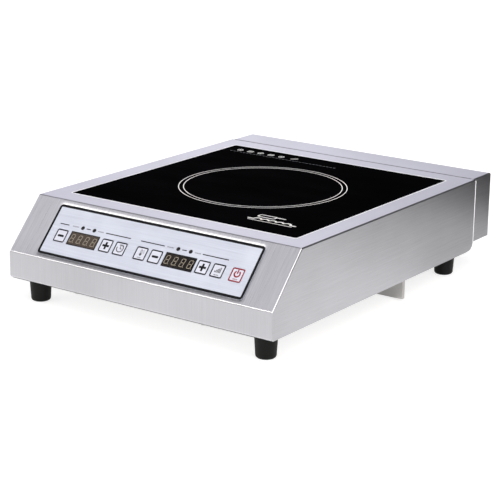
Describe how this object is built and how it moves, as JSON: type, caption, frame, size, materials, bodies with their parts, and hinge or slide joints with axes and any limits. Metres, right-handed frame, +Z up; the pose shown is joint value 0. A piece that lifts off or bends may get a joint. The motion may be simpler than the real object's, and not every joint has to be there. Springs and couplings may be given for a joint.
{
  "type": "induction hob",
  "caption": "Low rectangular countertop induction hob with a sloping front control panel, flush black ceramic plate, rear exhaust cover, underside air baffle and short tapered feet.",
  "frame": {"origin": "on the counter under the middle of the hob's bounding box, at the feet's lowest level", "axes": "+X to the user's right, +Y from the control panel to the exhaust cover, +Z up"},
  "size_m": [0.33, 0.425, 0.105],
  "materials": {
    "brushed_steel": "brushed",
    "sheet_steel": "satin",
    "black_ceramic": "polished",
    "seal": "satin",
    "foot_rubber": "matte",
    "zinc_plate": "satin",
    "overlay_film": "satin",
    "key_film": "satin",
    "display_window": "gloss",
    "indicator": "gloss",
    "ferrite": "matte",
    "circuit_board": "satin",
    "copper_wire": "satin",
    "mica": "matte",
    "heat_moulding": "matte",
    "aluminium": "satin",
    "black_epoxy": "matte",
    "capacitor_box": "gloss",
    "black_plastic": "satin"
  },
  "bodies": {
    "root": {"outer_shell": "brushed_steel", "rear_cover": "brushed_steel", "base_pan": "sheet_steel", "air_baffle": "sheet_steel", "plate_support_frame": "sheet_steel", "control_bracket": "sheet_steel", "ceramic_plate": "black_ceramic", "ceramic_plate_seal": "seal", "foot_front_left": "foot_rubber", "foot_screw_front_left": "zinc_plate", "foot_front_right": "foot_rubber", "foot_screw_front_right": "zinc_plate", "foot_rear_left": "foot_rubber", "foot_screw_rear_left": "zinc_plate", "foot_rear_right": "foot_rubber", "foot_screw_rear_right": "zinc_plate", "control_overlay": "overlay_film", "display_left": "display_window", "cover_screw_left": "zinc_plate", "display_right": "display_window", "cover_screw_right": "zinc_plate", "lamp_1": "indicator", "ferrite_bar_1": "ferrite", "lamp_2": "indicator", "ferrite_bar_2": "ferrite", "lamp_3": "indicator", "ferrite_bar_3": "ferrite", "lamp_4": "indicator", "ferrite_bar_4": "ferrite", "control_board": "circuit_board", "power_board": "circuit_board", "filter_board": "circuit_board", "coil_winding": "copper_wire", "filter_choke": "copper_wire", "insulation_disc": "mica", "temperature_sensor": "mica", "coil_tray": "heat_moulding", "coil_post_front": "heat_moulding", "coil_post_right": "heat_moulding", "coil_post_rear": "heat_moulding", "coil_post_left": "heat_moulding", "heat_sink": "aluminium", "switching_transistor_1": "black_epoxy", "switching_transistor_2": "black_epoxy", "bridge_rectifier": "black_epoxy", "resonant_capacitor": "capacitor_box", "smoothing_capacitor": "capacitor_box", "terminal_block": "black_plastic", "fan_housing": "black_plastic", "cable_gland": "black_plastic", "cable_gland_nut": "black_plastic"},
    "key_minus_1": {"key_minus_1": "key_film"},
    "key_plus_1": {"key_plus_1": "key_film"},
    "key_timer": {"key_timer": "key_film"},
    "key_temperature": {"key_temperature": "key_film"},
    "key_minus_2": {"key_minus_2": "key_film"},
    "key_plus_2": {"key_plus_2": "key_film"},
    "key_power_level": {"key_power_level": "key_film"},
    "key_on_off": {"key_on_off": "key_film"},
    "fan": {"fan_impeller": "black_plastic"}
  },
  "joints": [
    {"name": "press_minus_1", "type": "slide", "parent": "root", "child": "key_minus_1", "axis": [0, 0.7362, -0.6767], "range_m": [0, 0.0005], "stiffness_N_per_m": 3000},
    {"name": "press_plus_1", "type": "slide", "parent": "root", "child": "key_plus_1", "axis": [0, 0.7362, -0.6767], "range_m": [0, 0.0005], "stiffness_N_per_m": 3000},
    {"name": "press_timer", "type": "slide", "parent": "root", "child": "key_timer", "axis": [0, 0.7362, -0.6767], "range_m": [0, 0.0005], "stiffness_N_per_m": 3000},
    {"name": "press_temperature", "type": "slide", "parent": "root", "child": "key_temperature", "axis": [0, 0.7362, -0.6767], "range_m": [0, 0.0005], "stiffness_N_per_m": 3000},
    {"name": "press_minus_2", "type": "slide", "parent": "root", "child": "key_minus_2", "axis": [0, 0.7362, -0.6767], "range_m": [0, 0.0005], "stiffness_N_per_m": 3000},
    {"name": "press_plus_2", "type": "slide", "parent": "root", "child": "key_plus_2", "axis": [0, 0.7362, -0.6767], "range_m": [0, 0.0005], "stiffness_N_per_m": 3000},
    {"name": "press_power_level", "type": "slide", "parent": "root", "child": "key_power_level", "axis": [0, 0.7362, -0.6767], "range_m": [0, 0.0005], "stiffness_N_per_m": 3000},
    {"name": "press_on_off", "type": "slide", "parent": "root", "child": "key_on_off", "axis": [0, 0.7362, -0.6767], "range_m": [0, 0.0005], "stiffness_N_per_m": 3000},
    {"name": "fan_spin", "type": "hinge", "parent": "root", "child": "fan", "pos_m": [-0.08, -0.066, 0.0415], "axis": [0, 0, 1], "continuous": true}
  ]
}
